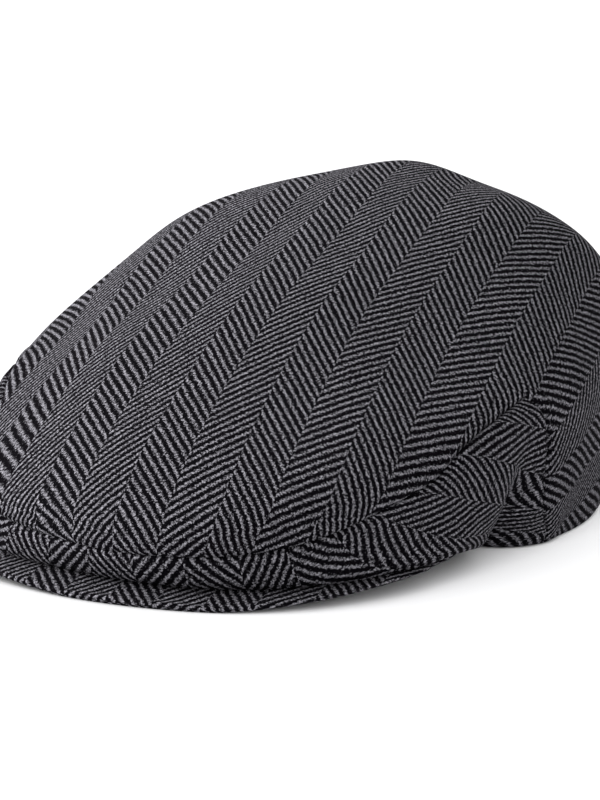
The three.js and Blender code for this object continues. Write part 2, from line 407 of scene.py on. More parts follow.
# The pinch in the wearer's left side where the band leaves the peak, with the swellings beside it.
LEFT_FOLDS = (
    Fold(angle=54.5, lean=0.5, foot=6.6, top=54, foot_width=8, top_width=9, depth=9.5),
    Fold(angle=55, lean=0, foot=3, top=30, foot_width=3.5, top_width=6, depth=5.0),
    Fold(angle=41, lean=8, foot=10, top=52, foot_width=9, top_width=13, depth=-2.2),
    Fold(angle=68, lean=4, foot=2, top=60, foot_width=8, top_width=12, depth=-1.8),
)


@dataclass(frozen=True)
class Swelling:
    """A place where the crown stands a little proud, by a height that fades over a reach, in millimetres."""

    centre: tuple[float, float, float]
    height: float
    reach: float

    def height_at(self, points: Array) -> Array:
        """How far the cloth stands proud at points."""
        return self.height * np.exp(-np.sum((points - self.centre) ** 2, axis=-1) / self.reach**2)


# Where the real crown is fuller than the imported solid, seen along its outline.
SWELLINGS = (
    Swelling(centre=(8.6, 81.8, 108.4), height=2.5, reach=17),
    Swelling(centre=(74, 72, 78), height=3.0, reach=25),
    Swelling(centre=(-90, -52, 42), height=2.2, reach=17),
    Swelling(centre=(-80, 5, 73), height=1.0, reach=30),
    Swelling(centre=(-62, 43, 93), height=1.0, reach=22),
)


def vertex_normals(points: Array, faces: Array) -> Array:
    """Unit normals at a mesh's points, from the faces round them.

    Args:
        points: The points.
        faces: Four corners for each face.

    Returns:
        One unit normal for each point.
    """
    corners = points[faces]
    across = corners[:, 2] - corners[:, 0]
    down = corners[:, 3] - corners[:, 1]
    each = np.cross(across, down)
    normals = np.zeros_like(points)
    for corner in range(4):
        np.add.at(normals, faces[:, corner], each)
    length = np.linalg.norm(normals, axis=1, keepdims=True)
    return normals / np.maximum(length, 1e-12)


def distance_to_line(points: Array, line: Array) -> Array:
    """Distance from each point to the nearest stretch of a line of points."""
    best = np.full(len(points), np.inf)
    for start, end in zip(line[:-1], line[1:]):
        along = end - start
        share = np.clip((points - start) @ along / max(along @ along, 1e-9), 0, 1)
        best = np.minimum(best, np.linalg.norm(points - start - share[:, None] * along, axis=1))
    return best


def rolled(distance: Array, radius: float, drop: float) -> Array:
    """Depth of a rolled edge: the full drop at the seam, easing to nothing a roll's radius away."""
    near = np.clip(1 - distance / radius, 0, 1)
    return drop * (1 - np.sqrt(np.maximum(1 - near**2, 0)))


@dataclass(frozen=True)
class Undulation:
    """Slight unevenness of pressed cloth, from a few long waves with seeded directions."""

    amplitude: float
    wavelength: float
    waves: int = 9

    def at(self, points: Array) -> Array:
        """The unevenness at points in millimetres."""
        rng = np.random.default_rng(SEED)
        total = np.zeros(len(points))
        for _ in range(self.waves):
            direction = rng.normal(size=3)
            direction = direction / np.linalg.norm(direction)
            length = self.wavelength * rng.uniform(0.7, 1.6)
            phase = rng.uniform(0, 2 * math.pi)
            total += np.sin(points @ direction * 2 * math.pi / length + phase)
        return self.amplitude * total / math.sqrt(self.waves)


# Where the crown's column edges come out across the cap, in millimetres, at even steps along it from the front
# to the back. The cloth was pulled a little to one side as it was sewn and pressed.
RIGHT_COLUMNS = 4
COLUMN_EDGES = {
    "along": (-180, -140, -100, -60, -20, 20),
    "right_4": (-50.5, -49.5, -46.5, -45.5, -45.0, -45.0),
    "right_3": (-36.6, -35.9, -33.2, -30.5, -30.0, -30.0),
    "right_2": (-22.4, -20.9, -17.3, -15.4, -16.5, -17.0),
    "right_1": (-8.1, -7.1, -5.4, -4.6, -5.0, -6.0),
    "left_1": (6.8, 7.2, 8.2, 9.9, 9.4, 6.8),
    "left_2": (22.4, 21.4, 21.2, 21.9, 20.9, 18.5),
    "left_3": (36.9, 36.1, 35.1, 35.6, 35.5, 32.5),
    "left_4": (52.6, 51.4, 49.4, 49.1, 48.5, 45.0),
    "left_5": (67.6, 66.0, 64.4, 63.4, 63.4, 61.0),
    "left_6": (82.5, 81.3, 79.9, 78.6, 78.1, 74.5),
}

# How far the crown's cloth was drawn to the wearer's right on its way down the front wall, in millimetres by
# azimuth.
DRAWN_RIGHT = {
    "azimuth": (-44, -30, -20, -10, 0, 5),
    "shift": (0.0, 4.5, 7.0, 4.0, 1.0, 0.0),
}


@dataclass(frozen=True)
class CrownCut:
    """Where each point of the crown lies on the one flat panel it was cut from.

    Columns run from front to back. Across them the cloth is measured from the middle over each cross section,
    along them it is measured on each column, and past the widest line it goes straight on down the wall.
    """

    form: CapForm
    slices: int = 320
    steps: int = 220
    columns: int = 300
    easing: float = 0.0016
    easing_middle: float = -100.0
    easing_front: float = -200.0
    drawn_from: float = 0.75
    drawn_to: float = 1.3
    wall_steps: int = 12
    rim_points: int = 2400
    short_of_ends: float = 0.9999
    column_width: float = 14.7

    def _tables(self) -> tuple[Array, Array, Array, Array]:
        """Slice places, their half widths, and the cloth's two coordinates on the grid of the top."""
        form = self.form
        turn = np.linspace(0, 180, self.rim_points)
        rim = form.polar_point(turn, form.widest_radius(turn), 0)
        middle_y, half_length = (rim[0, 1] + rim[-1, 1]) / 2, (rim[-1, 1] - rim[0, 1]) / 2
        # The slices stand close together at both ends, where the top falls away fast.
        places = np.sin(np.linspace(-np.pi / 2, np.pi / 2, self.slices))
        slices = middle_y + half_length * self.short_of_ends * places
        half_width = np.interp(slices, rim[:, 1], rim[:, 0])
        sweep = np.sin(np.linspace(0, np.pi / 2, self.steps))
        x = half_width[:, None] * sweep[None]
        y = np.broadcast_to(slices[:, None], x.shape)
        z = self.top_at(x, y)
        across = np.zeros_like(x)
        across[:, 1:] = np.cumsum(np.hypot(np.diff(x, axis=1), np.diff(z, axis=1)), axis=1)
        middle = int(np.argmax(across[:, -1]))
        counted = np.linspace(0, across[middle, -1], self.columns)
        line_x = np.stack([np.interp(counted, across[k], x[k]) for k in range(self.slices)])
        inside = counted[None] <= across[:, -1:]
        line_z = self.top_at(line_x, np.broadcast_to(slices[:, None], line_x.shape))
        flat = np.hypot(np.diff(line_x, axis=0), np.diff(line_z, axis=0))
        along = np.zeros_like(line_x)
        along[1:] = np.cumsum(np.hypot(flat, np.diff(slices)[:, None]), axis=0)
        along -= along[middle]
        rows = zip(across, inside, along)
        onward = np.stack([np.interp(row, counted[kept], lengths[kept]) for row, kept, lengths in rows])
        return slices, half_width, across, onward

    def top_at(self, x: Array, y: Array) -> Array:
        """Height of the crown's top over plan points."""
        form = self.form
        back = form.centre_y - y
        angle = np.degrees(np.arctan2(x, back))
        share = np.minimum(np.hypot(x, back) / form.widest_radius(angle), 1)
        return form.top_height(angle, np.arcsin(share) * 2 / np.pi)

    def place(self, angle: Array, station: Array) -> Array:
        """The cloth's coordinates at points of the crown.

        Args:
            angle: Azimuths in degrees.
            station: Stations from 0 to 2.

        Returns:
            Millimetres across and along the columns, last.
        """
        form = self.form
        slices, half_width, across, onward = self._tables()
        on_top = form.point(angle, np.minimum(station, 1))
        x, y = on_top[..., 0], np.clip(on_top[..., 1], slices[0], slices[-1])
        row = np.interp(y, slices, np.arange(self.slices))
        reach = np.interp(y, slices, half_width)
        step = np.arcsin(np.clip(np.abs(x) / reach, 0, 1)) / (np.pi / 2) * (self.steps - 1)
        low = np.minimum(row.astype(int), self.slices - 2)
        left = np.minimum(step.astype(int), self.steps - 2)
        down, right = row - low, step - left
        values = []
        for table in (across, onward):
            upper = table[low, left] * (1 - right) + table[low, left + 1] * right
            lower = table[low + 1, left] * (1 - right) + table[low + 1, left + 1] * right
            values.append(upper * (1 - down) + lower * down)
        drop = self._down_wall(angle, station)
        out = form.outward(angle)
        drawn = np.interp(wrapped(angle), DRAWN_RIGHT["azimuth"], DRAWN_RIGHT["shift"], 0, 0)
        u = values[0] * np.where(x < 0, -1, 1) + drop * out[..., 0]
        u = u + drawn * smoothstep(station, self.drawn_from, self.drawn_to)
        v = values[1] + drop * out[..., 1]
        return np.stack([self.pulled(u, v), self.eased(v)], -1)

    def pulled(self, u: Array, v: Array) -> Array:
        """Places across the cloth once its column edges are where the table puts them."""
        along = COLUMN_EDGES["along"]
        row = np.clip((v - along[0]) / (along[1] - along[0]), 0, len(along) - 1)
        drawn = [edge for name, edge in COLUMN_EDGES.items() if name != "along"]
        edges = np.stack([catmull_rom(edge, row) for edge in drawn])
        left = np.clip((u > edges).sum(0) - 1, 0, len(edges) - 2)[None]
        before = np.take_along_axis(edges, left, 0)[0]
        after = np.take_along_axis(edges, left + 1, 0)[0]
        count = left[0] - RIGHT_COLUMNS + (u - before) / (after - before)
        return Grain.CROWN.value + self.column_width * count

    def eased(self, v: Array) -> Array:
        """Places along the cloth, drawn out a little towards the back, where its lines stand apart."""
        near = np.clip(v, self.easing_front, 0)
        slack = near - self.easing_middle
        return v - self.easing / 2 * slack**2 - self.easing * slack * (v - near)

    def _down_wall(self, angle: Array, station: Array) -> Array:
        """Length down the wall from the widest line."""
        down = np.maximum(station, 1)
        shares = np.linspace(0, 1, self.wall_steps + 1)
        on_way = np.stack([self.form.point(angle, 1 + (down - 1) * share) for share in shares])
        return np.linalg.norm(np.diff(on_way, axis=0), axis=-1).sum(0)


# How far the band's flat horseshoe has turned at lengths along its upper seam from the front, and where its
# grain lines come out once the horseshoe is eased round the cap. Lengths are millimetres and turns are degrees.
HORSESHOE = {
    "length": (0, 30, 45, 60, 75, 90, 150),
    "turn": (0, -8, -17, -30, -48, -52, -52),
}
EASED = {
    "flat": (-18.3, -3.5, 13.2, 29.0, 42.2, 56.0, 67.2, 77.6, 89.0, 100.9),
    "grain": (-16.2, -1.5, 13.2, 27.9, 42.6, 57.3, 72.0, 86.7, 101.4, 116.1),
}


@dataclass(frozen=True)
class BandCut:
    """Where each point of the side band lies on its flat horseshoe.

    The band is measured along its upper seam and down from it. Its columns stand upright in the middle of the
    front, and lean as the horseshoe turns.
    """

    rate_before: float = 1.0
    rate_after: float = 1.29

    def place(self, seam: Array, drop: Array) -> Array:
        """The cloth's coordinates of a grid of the band.

        Args:
            seam: The upper seam's points from the right rear corner to the left one.
            drop: For each seam point, the lengths down from it.

        Returns:
            Millimetres across and along the columns, last.
        """
        steps = np.linalg.norm(np.diff(seam, axis=0), axis=1)
        length = np.concatenate([[0], np.cumsum(steps)])
        length -= length[len(seam) // 2]
        turned = np.interp(np.abs(length), HORSESHOE["length"], HORSESHOE["turn"])
        turn = np.radians(turned * np.sign(length))
        between = (turn[1:] + turn[:-1]) / 2
        flat = np.zeros((len(seam), 2))
        flat[1:, 0] = np.cumsum(steps * np.cos(between))
        flat[1:, 1] = np.cumsum(steps * np.sin(between))
        flat -= flat[len(seam) // 2]
        u = flat[:, None, 0] + drop * np.sin(turn)[:, None]
        v = flat[:, None, 1] - drop * np.cos(turn)[:, None]
        # Past the table's ends the grain goes on at an even rate.
        known, grain = np.array(EASED["flat"]), np.array(EASED["grain"])
        ends = np.clip(u, known[0], known[-1])
        rates = np.where(u < known[0], self.rate_before, self.rate_after)
        return np.stack([np.interp(ends, known, grain) + (u - ends) * rates, v], -1)


def linear_colour(code: str) -> tuple[float, float, float, float]:
    """Turns an sRGB hex colour such as "8c898f" into linear light with full alpha."""
    parts = [int(code[k : k + 2], 16) / 255 for k in (0, 2, 4)]
    linear = [p / 12.92 if p <= 0.04045 else ((p + 0.055) / 1.055) ** 2.4 for p in parts]
    return (*linear, 1.0)


def add_node(tree: bpy.types.NodeTree, kind: str, settings: dict, links: dict) -> bpy.types.Node:
    """Adds a node to a tree with its settings and links.

    Args:
        tree: The node tree.
        kind: The node's Blender type.
        settings: Attribute names, or input names or numbers, to plain values.
        links: Input names or numbers to the output sockets that feed them.

    Returns:
        The new node.
    """
    node = tree.nodes.new(kind)
    for name, value in settings.items():
        if isinstance(name, str) and hasattr(node, name):
            setattr(node, name, value)
        else:
            node.inputs[name].default_value = value
    for name, socket in links.items():
        tree.links.new(socket, node.inputs[name])
    return node


@dataclass(frozen=True)
class HerringboneWool:
    """Wool cloth, woven in a broken herringbone and lightly milled.

    A dark and a pale yarn give the eye slanting lines that turn back at each column, softened by a brushed nap:
    no gloss, ragged edges to the lines and a fine salt and pepper of fibres.
    """

    name: str
    start: Grain
    column_width: float = 14.7
    line_pitch: float = 2.46
    line_angle: float = 38.0
    lump_length: float = 0.75
    raggedness: float = 7.0
    pale_yarn: str = "1e1c21"
    pale_fibre: str = "a09ea5"
    dark_yarn: str = "010102"
    dark_fibre: str = "0d0b0f"

    def lines(self, tree: bpy.types.NodeTree, cloth: bpy.types.NodeSocket) -> bpy.types.NodeSocket:
        """Counts the slanting lines across the cloth, one unit for a dark and a pale line.

        Args:
            tree: The material's node tree.
            cloth: The cloth's coordinates in millimetres.

        Returns:
            The count, which turns back and jumps by half a line at each column's edge.
        """
        slant = math.radians(self.line_angle)
        reach = self.column_width * math.cos(slant) / self.line_pitch
        math_node = "ShaderNodeMath"
        parts = add_node(tree, "ShaderNodeSeparateXYZ", {}, {0: cloth})
        columns = add_node(
            tree,
            math_node,
            {"operation": "MULTIPLY_ADD", 1: 1 / self.column_width, 2: -self.start.value / self.column_width},
            {0: parts.outputs["X"]},
        )
        zigzag = add_node(tree, math_node, {"operation": "PINGPONG", 1: 1.0}, {0: columns.outputs[0]})
        pair = add_node(tree, math_node, {"operation": "FLOORED_MODULO", 1: 2.0}, {0: columns.outputs[0]})
        odd = add_node(tree, math_node, {"operation": "GREATER_THAN", 1: 1.0}, {0: pair.outputs[0]})
        side = add_node(
            tree, math_node, {"operation": "MULTIPLY_ADD", 1: reach, 2: -reach / 2}, {0: zigzag.outputs[0]}
        )
        jump = add_node(
            tree, math_node, {"operation": "MULTIPLY_ADD", 1: 0.5}, {0: odd.outputs[0], 2: side.outputs[0]}
        )
        count = add_node(
            tree,
            math_node,
            {"operation": "MULTIPLY_ADD", 1: -math.sin(slant) / self.line_pitch},
            {0: parts.outputs["Y"], 2: jump.outputs[0]},
        )
        return count.outputs[0]

    def build(self) -> bpy.types.Material:
        """Makes the material from nodes that read the cloth coordinates, in millimetres."""
        material = bpy.data.materials.new(self.name)
        material.use_nodes = True
        tree = material.node_tree
        tree.nodes.clear()
        math_node, noise_node = "ShaderNodeMath", "ShaderNodeTexNoise"
        cloth = add_node(tree, "ShaderNodeUVMap", {"uv_map": "cloth"}, {}).outputs["UV"]
        # The weave wavers by a fraction of a line over a few millimetres, as soft cloth does.
        soft = {"Scale": 0.2, "Detail": 2.0, "Roughness": 0.6}
        waver = add_node(tree, noise_node, soft, {"Vector": cloth})
        moved = add_node(
            tree,
            "ShaderNodeVectorMath",
            {"operation": "MULTIPLY_ADD", 1: (0.9, 0.9, 0.0)},
            {0: waver.outputs["Color"], 2: cloth},
        ).outputs["Vector"]
        turns = add_node(
            tree, math_node, {"operation": "MULTIPLY", 1: 2 * math.pi}, {0: self.lines(tree, moved)}
        )
        wave = add_node(tree, math_node, {"operation": "SINE"}, {0: turns.outputs[0]})
        # Each line is a row of short woven floats, so its edges come in lumps.
        floats = {"Scale": 1 / self.lump_length, "Detail": 2.0, "Roughness": 0.7}
        lumps = add_node(tree, noise_node, floats, {"Vector": moved})
        spread = {"operation": "MULTIPLY_ADD", 1: self.raggedness, 2: -self.raggedness / 2}
        ragged = add_node(tree, math_node, spread, {0: lumps.outputs["Fac"]})
        edged = add_node(tree, math_node, {"operation": "ADD"}, {0: wave.outputs[0], 1: ragged.outputs[0]})
        pale = add_node(
            tree,
            "ShaderNodeMapRange",
            {"interpolation_type": "SMOOTHSTEP", "From Min": -0.1, "From Max": 1.25},
            {"Value": edged.outputs[0]},
        ).outputs["Result"]
        # Single fibres are finer than the render can show, so they are drawn in tufts two to the millimetre.
        tufts = {"Scale": 1.7, "Detail": 2.0, "Roughness": 0.8}
        fibre = add_node(tree, noise_node, tufts, {"Vector": moved})
        speck = add_node(
            tree, "ShaderNodeMapRange", {"From Min": 0.36, "From Max": 0.68}, {"Value": fibre.outputs["Fac"]}
        ).outputs["Result"]
        shades = []
        yarns = ((self.dark_yarn, self.dark_fibre), (self.pale_yarn, self.pale_fibre))
        for yarn_colour, fibre_colour in yarns:
            shade = add_node(
                tree,
                "ShaderNodeMix",
                {"data_type": "RGBA", 6: linear_colour(yarn_colour), 7: linear_colour(fibre_colour)},
                {0: speck},
            )
            shades.append(shade.outputs[2])
        both = {0: pale, 6: shades[0], 7: shades[1]}
        colour = add_node(tree, "ShaderNodeMix", {"data_type": "RGBA"}, both)
        height = add_node(tree, math_node, {"operation": "MULTIPLY_ADD", 1: 0.5}, {0: speck, 2: pale})
        bump = add_node(
            tree,
            "ShaderNodeBump",
            {"Strength": 0.5, "Distance": 0.3 * METRES},
            {"Height": height.outputs[0]},
        )
        shader = add_node(
            tree,
            "ShaderNodeBsdfPrincipled",
            {
                "Roughness": 0.92,
                "IOR": 1.54,
                "Specular IOR Level": 0.01,
            },
            {"Base Color": colour.outputs[2], "Normal": bump.outputs["Normal"]},
        )
        add_node(tree, "ShaderNodeOutputMaterial", {}, {"Surface": shader.outputs["BSDF"]})
        return material


@dataclass(frozen=True)
class PaintedFloor:
    """Matt white paint on board, rolled on: an even pale ground with no shine."""

    name: str = "matt_white_paint"
    paint: str = "e7e7e8"

    def build(self) -> bpy.types.Material:
        """Makes the material."""
        material = bpy.data.materials.new(self.name)
        material.use_nodes = True
        tree = material.node_tree
        tree.nodes.clear()
        shader = add_node(
            tree,
            "ShaderNodeBsdfPrincipled",
            {"Base Color": linear_colour(self.paint), "Roughness": 0.85, "Specular IOR Level": 0.2},
            {},
        )
        add_node(tree, "ShaderNodeOutputMaterial", {}, {"Surface": shader.outputs["BSDF"]})
        return material


def cloth_object(
    name: str, points: Array, faces: list, grain: Array, material: bpy.types.Material
) -> bpy.types.Object:
    """Makes a smooth mesh object that carries its cloth coordinates.

    Args:
        name: The object's name.
        points: Points in millimetres.
        faces: Corner numbers of each face.
        grain: The cloth's coordinates at each point, in millimetres.
        material: The finish.

    Returns:
        The new object, linked to the scene.
    """
    mesh = bpy.data.meshes.new(name)
    mesh.from_pydata((points * METRES).tolist(), [], [list(map(int, face)) for face in faces])
    layer = mesh.uv_layers.new(name="cloth")
    corners = np.zeros(len(mesh.loops), dtype=np.int32)
    mesh.loops.foreach_get("vertex_index", corners)
    layer.data.foreach_set("uv", grain[corners].astype(np.float32).ravel())
    mesh.polygons.foreach_set("use_smooth", np.ones(len(mesh.polygons), dtype=bool))
    mesh.materials.append(material)
    mesh.validate()
    mesh.update()
    made = bpy.data.objects.new(name, mesh)
    bpy.context.scene.collection.objects.link(made)
    return made


def grid_faces(numbers: Array) -> Array:
    """Faces between a grid's neighbouring rows and columns, from the grid's point numbers."""
    corners = (numbers[:-1, :-1], numbers[1:, :-1], numbers[1:, 1:], numbers[:-1, 1:])
    return np.stack([c.ravel() for c in corners], -1)


def boundary_pairs(faces: Array) -> Array:
    """The directed edges that only one face has."""
    edges = np.concatenate([faces[:, [k, (k + 1) % 4]] for k in range(4)])
    edges = edges[edges[:, 0] != edges[:, 1]]
    known = {(a, b) for a, b in edges.tolist()}
    return np.array([(a, b) for a, b in edges.tolist() if (b, a) not in known], dtype=int)


def thickened(points: Array, inner: Array, faces: Array, grain: Array) -> tuple[Array, list, Array]:
    """Closes an outer and an inner face into one wall of cloth.

    Args:
        points: The outer face's points.
        inner: The inner face's points, in the same order.
        faces: The outer face's faces.
        grain: The cloth's coordinates at each point.

    Returns:
        Points, faces and cloth coordinates of the closed wall.
    """
    count = len(points)
    rim = boundary_pairs(faces)
    walls = np.stack([rim[:, 1], rim[:, 0], rim[:, 0] + count, rim[:, 1] + count], -1)
    every = np.concatenate([faces, faces[:, ::-1] + count, walls])
    cleaned = []
    for face in every.tolist():
        kept = [corner for k, corner in enumerate(face) if corner != face[k - 1]]
        if len(set(kept)) > 2:
            cleaned.append(kept)
    return np.concatenate([points, inner]), cleaned, np.concatenate([grain, grain])


@dataclass
class ShellCloth:
    """What the crown panel and the side band share: the form, its seams, and how cloth behaves along them."""

    form: CapForm
    seams: SeamLines
    cloth_thickness: float = 1.8
    roll_radius: float = 2.0
    roll_drop: float = 1.4
    hem_roll: float = 1.6
    lip_roll: float = 2.6
    lip_drop: float = 1.7
    lip_tuck: float = 1.2
    swell_away: float = 4.0
    swell_width: float = 3.5
    pucker_reach: float = 5.0
    stitch_hold: float = 1.2
    coarse: float = 2.2
    fine: float = 0.3
    unevenness: Undulation = Undulation(0.35, 48)
    pucker: Undulation = Undulation(0.22, 9, waves=7)
    folds: tuple = LEFT_FOLDS
    swellings: tuple = SWELLINGS

    def __post_init__(self) -> None:
        """Finds the seams' common point and the grid's azimuths and stations."""
        self.apex_angle, self.apex_station = self.seams.apex()
        per_degree = math.radians(self.form.crown_half_width)
        side = graded(self.apex_angle * per_degree * 1.3, self.fine, self.coarse) * self.apex_angle
        left = self.apex_angle - side[::-1]
        self.front_angles = np.concatenate([-left[::-1][:-1], left]) if left[0] == 0 else left
        back_half = 180 - self.apex_angle
        back = self.apex_angle + graded(back_half * per_degree * 1.05, self.fine, self.coarse) * back_half
        self.back_angles = np.concatenate([back, 360 - back[::-1][1:]])
        self.down = graded(55, self.fine, self.coarse * 0.9)
        self.over = 1 - graded(140, self.fine, self.coarse)[::-1]
        self.upper_line = self._upper_line()
        self.rear_line = self._rear_line()

    def _upper_line(self) -> Array:
        """Points of the upper seam from its right end to its left one."""
        angles = np.linspace(-self.apex_angle, self.apex_angle, 161)
        return self.form.point(angles, self.seams.upper_station(angles))

    def _rear_line(self) -> Array:
        """Points of the left rear seam from the apex down."""
        stations = np.linspace(self.apex_station, 2, 41)
        return self.form.point(self.seams.rear_angle(stations), stations)

    def seam_distance(self, points: Array) -> Array:
        """Distance from each point to the nearest of the three seams."""
        mirrored = self.rear_line * (-1, 1, 1)
        lines = (self.upper_line, self.rear_line, mirrored)
        return np.min([distance_to_line(points, line) for line in lines], axis=0)

    def folded(self, points: Array, angle: Array) -> Array:
        """Presses the folds into points, straight towards the head opening's middle."""
        depth = sum(fold.depth_at(angle, points[:, 2], self.form.crown_half_width) for fold in self.folds)
        out = self.form.outward(angle)
        moved = points.copy()
        moved[:, :2] -= depth[:, None] * out
        return moved

    def wall(self, points: Array, angle: Array, faces: Array, swell: float) -> tuple[Array, Array]:
        """Gives a face its folds, rolled seams and turned lower edge.

        Args:
            points: The plain outer face.
            angle: Each point's azimuth, from -180 to 180.
            faces: The faces between the points.
            swell: How far the cloth stands up beside its seams.

        Returns:
            The dressed outer face and the inner face.
        """
        pressed = self.folded(points, angle)
        normals = vertex_normals(pressed, faces)
        distance = self.seam_distance(points)
        lift = self.unevenness.at(points)
        lift += sum(swelling.height_at(points) for swelling in self.swellings)
        lift += swell * np.exp(-(((distance - self.swell_away) / self.swell_width) ** 2))
        lift += self.pucker.at(points) * np.exp(-((distance / self.pucker_reach) ** 2))
        # The stitches hold the cloth down right beside the seam.
        lift *= 1 - np.exp(-((distance / self.stitch_hold) ** 2))
        lift -= rolled(distance, self.roll_radius, self.roll_drop)
        to_hem = np.linalg.norm(self.form.point(angle, np.full(len(angle), 2.0)) - points, axis=1)
        # Over the lip the edge rolls in deeper than on the table, which leaves a dark groove.
        on_lip = self.form.on_peak(angle)
        roll = self.hem_roll + (self.lip_roll - self.hem_roll) * on_lip
        drop = self.cloth_thickness / 2 + (self.lip_drop - self.cloth_thickness / 2) * on_lip
        hem = rolled(to_hem, roll, drop)
        lift = lift * smoothstep(to_hem, 0, 5) - hem
        outer = pressed + normals * lift[:, None]
        inner_depth = self.cloth_thickness + (drop - self.cloth_thickness) * hem / drop
        inner = pressed - normals * inner_depth[:, None]
        tuck = self.lip_tuck * on_lip * (1 - smoothstep(to_hem, 0, 4))
        level = self.form.outward(angle) * tuck[:, None]
        outer[:, :2] -= level
        inner[:, :2] -= level
        outer[:, 2] = np.maximum(outer[:, 2], 0)
        inner[:, 2] = np.maximum(inner[:, 2], 0)
        return outer, inner


@dataclass
class CrownPanel:
    """The one-piece top that runs from the front seam over the top and down the back to the rim."""

    shell: ShellCloth
    finish: HerringboneWool
    node: str = "crown_panel"
    swell: float = 0.55

    def grid(self) -> tuple[Array, Array, Array]:
        """Azimuths, stations and faces of the panel."""
        shell = self.shell
        front, back = shell.front_angles, shell.back_angles
        loop = np.concatenate([front, back[1:-1]])
        ends = np.where(
            np.abs(loop) <= shell.apex_angle + 1e-9,
            shell.seams.upper_station(np.clip(loop, -shell.apex_angle, shell.apex_angle)),
            shell.apex_station,
        )
        rows = shell.over[1:]
        angles = [np.zeros(1), np.tile(loop, (len(rows), 1)).ravel()]
        stations = [np.zeros(1), (rows[:, None] * ends[None]).ravel()]
        count = len(loop)
        numbers = 1 + np.arange(len(rows) * count).reshape(len(rows), count)
        numbers = np.concatenate([numbers, numbers[:, :1]], axis=1)
        top = np.concatenate([np.zeros((1, count + 1), int), numbers])
        faces = [grid_faces(top)]
        # Below the apex the panel goes on down the back, between the two rear seams.
        down = shell.down[1:]
        station = shell.apex_station + (2 - shell.apex_station) * down
        moved = shell.seams.rear_angle(station) - shell.apex_angle
        share = (np.minimum(back, 360 - back) - shell.apex_angle) / (180 - shell.apex_angle)
        side = np.where(back <= 180, 1, -1)
        angles.append((back[None] + moved[:, None] * ((1 - share) ** 2 * side)[None]).ravel())
        stations.append(np.repeat(station, len(back)))
        start = 1 + len(rows) * count
        lower = start + np.arange(len(down) * len(back)).reshape(len(down), len(back))
        last = numbers[-1]
        join = np.concatenate([[last[len(front) - 1]], last[len(front) : count], [last[0]]])
        faces.append(grid_faces(np.concatenate([join[None], lower])))
        return np.concatenate(angles), np.concatenate(stations), np.concatenate(faces)

    def build(self) -> bpy.types.Object:
        """Builds and dresses the panel."""
        angle, station, faces = self.grid()
        angle = wrapped(angle)
        points = self.shell.form.point(angle, station)
        outer, inner = self.shell.wall(points, angle, faces, self.swell)
        # The panel is cut for the plain form, and stretches over the fuller corner.
        grain = CrownCut(CapForm(corner_fullness=0, corner_drop=0)).place(angle, station)
        made = cloth_object("crown_cloth", *thickened(outer, inner, faces, grain), self.finish.build())
        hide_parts(self.node)
        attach(made, "root")
        return made


@dataclass
class SideBand:
    """The horseshoe band: a narrow strip over the peak that widens into both side panels."""

    shell: ShellCloth
    finish: HerringboneWool
    node: str = "side_band"
    swell: float = 0.3

    def build(self) -> bpy.types.Object:
        """Builds and dresses the band."""
        shell = self.shell
        base = shell.front_angles
        top = shell.seams.upper_station(base)
        down = shell.down
        station = top[:, None] + (2 - top)[:, None] * down[None]
        side_station = shell.apex_station + (2 - shell.apex_station) * down
        moved = shell.seams.rear_angle(side_station) - shell.apex_angle
        share = base / shell.apex_angle
        angle = base[:, None] + moved[None] * (np.sign(share) * np.abs(share) ** 3)[:, None]
        points = shell.form.point(angle, station)
        steps = np.linalg.norm(np.diff(points, axis=1), axis=-1)
        drop = np.concatenate([np.zeros((len(base), 1)), np.cumsum(steps, axis=1)], axis=1)
        grain = BandCut().place(points[:, 0], drop)
        numbers = np.arange(points.shape[0] * points.shape[1]).reshape(points.shape[:2])
        faces = grid_faces(numbers)[:, ::-1]
        flat = points.reshape(-1, 3)
        outer, inner = shell.wall(flat, angle.ravel(), faces, self.swell)
        made = cloth_object(
            "band_cloth", *thickened(outer, inner, faces, grain.reshape(-1, 2)), self.finish.build()
        )
        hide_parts(self.node)
        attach(made, "root")
        return made


